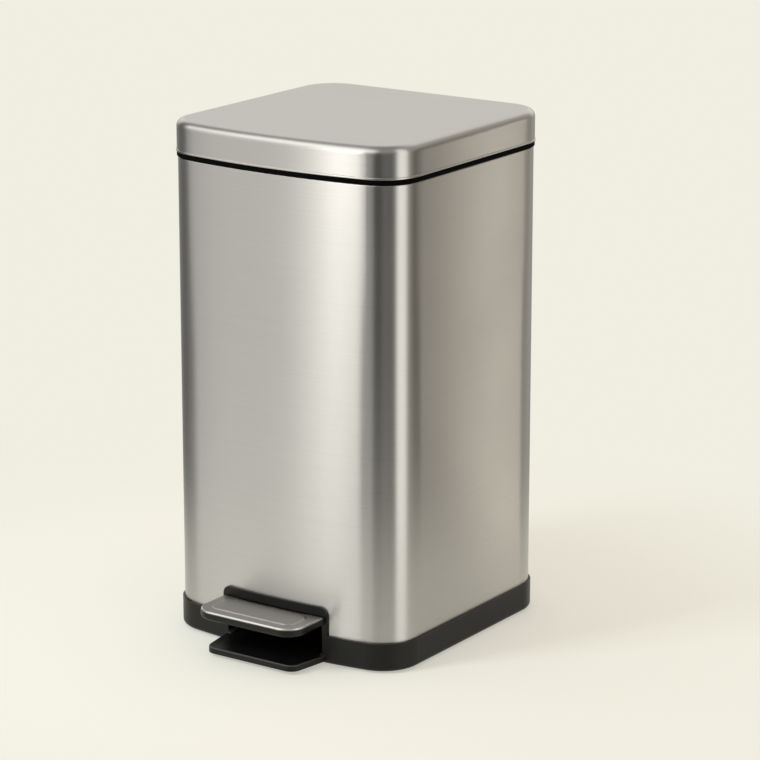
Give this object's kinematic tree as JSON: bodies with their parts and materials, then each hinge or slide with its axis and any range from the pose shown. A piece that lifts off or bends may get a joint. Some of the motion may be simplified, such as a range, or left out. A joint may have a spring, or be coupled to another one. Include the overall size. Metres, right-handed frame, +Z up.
{
  "type": "pedal trash can",
  "caption": "Square steel pedal bin with a bowed front and black base; the pedal lifts a soft-closing hinged lid through a rod, over a removable inner bucket.",
  "frame": {"origin": "middle of the bounding box on the floor, under the feet", "axes": "+X to the right seen from the front, -Y towards the pedal, +Z up"},
  "size_m": [0.3254, 0.415, 0.609],
  "materials": {
    "steel_skin": "brushed level, satin",
    "black_plastic": "fine moulded grain",
    "bucket_plastic": "smooth moulded",
    "zinc_steel": "zinc plated",
    "black_steel": "black coated",
    "grey_plastic": "smooth moulded",
    "black_rubber": "matt"
  },
  "bodies": {
    "body": {"body_shell": "steel_skin", "base_tray": "black_plastic", "collar": "black_plastic", "hinge_housing": "black_plastic", "hinge_pins": "zinc_steel", "damper_barrel": "grey_plastic", "rod_guard": "zinc_steel", "axle_bushes": "grey_plastic", "base_nuts": "zinc_steel", "base_screws": "zinc_steel", "housing_screws": "zinc_steel", "rubber_feet": "black_rubber", "lid_bumpers": "black_rubber"},
    "lid": {"lid_skin": "steel_skin", "lid_liner": "black_plastic", "lid_crank": "zinc_steel", "damper_rotor": "grey_plastic", "crank_screws": "zinc_steel"},
    "rod": {"lift_rod": "zinc_steel", "rod_clips": "zinc_steel"},
    "pedal": {"pedal_lever": "black_steel", "pedal_pad": "black_plastic", "pedal_tread": "steel_skin", "pedal_screws": "zinc_steel", "pedal_axle": "zinc_steel", "axle_caps": "grey_plastic"},
    "bucket": {"inner_bucket": "bucket_plastic"}
  },
  "joints": [
    {"name": "lid_open", "type": "hinge", "parent": "body", "child": "lid", "pos_m": [0, 0.193, 0.568], "axis": [-1, 0, 0], "range_deg": [0, 80]},
    {"name": "rod_swing", "type": "hinge", "parent": "lid", "child": "rod", "pos_m": [0, 0.17, 0.5487], "axis": [1, 0, 0], "range_deg": [0, 80]},
    {"name": "pedal_press", "type": "hinge", "parent": "body", "child": "pedal", "pos_m": [0, -0.043, 0.034], "axis": [1, 0, 0], "range_deg": [0, 10.56]},
    {"name": "bucket_lift", "type": "slide", "parent": "body", "child": "bucket", "axis": [0, 0, 1], "range_m": [0, 0.02]}
  ],
  "couplings": [
    {"joint": "rod_swing", "follows": "lid_open", "ratio": 1},
    {"joint": "pedal_press", "follows": "lid_open", "ratio": 0.132}
  ]
}
